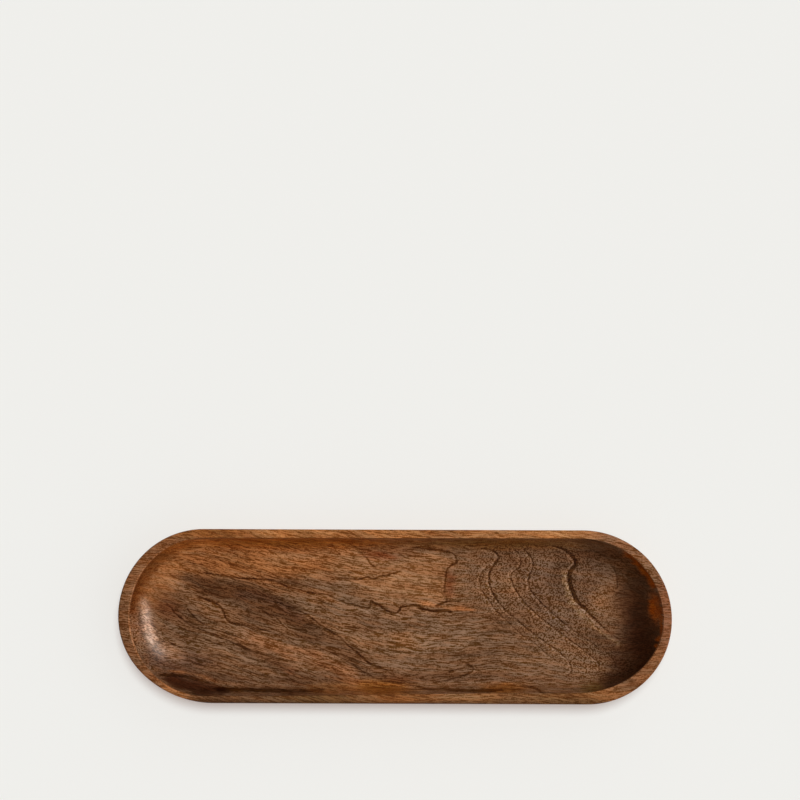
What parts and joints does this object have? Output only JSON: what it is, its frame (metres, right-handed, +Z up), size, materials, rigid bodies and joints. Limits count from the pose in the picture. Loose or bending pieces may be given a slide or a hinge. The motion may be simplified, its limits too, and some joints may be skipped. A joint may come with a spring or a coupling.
{
  "type": "serving plate",
  "caption": "Long oval-ended wooden serving plate, carved from one block, with a flat rim round a shallow scoop and sides that lean in to a flat base.",
  "frame": {"origin": "on the surface the plate lies on, under the middle of its length and width", "axes": "+X along the length, +Y across the width, +Z up out of the scoop"},
  "size_m": [0.3996, 0.1256, 0.026],
  "materials": {
    "wood": "satin oiled wood"
  },
  "bodies": {
    "root": {"plate": "wood"}
  },
  "joints": []
}
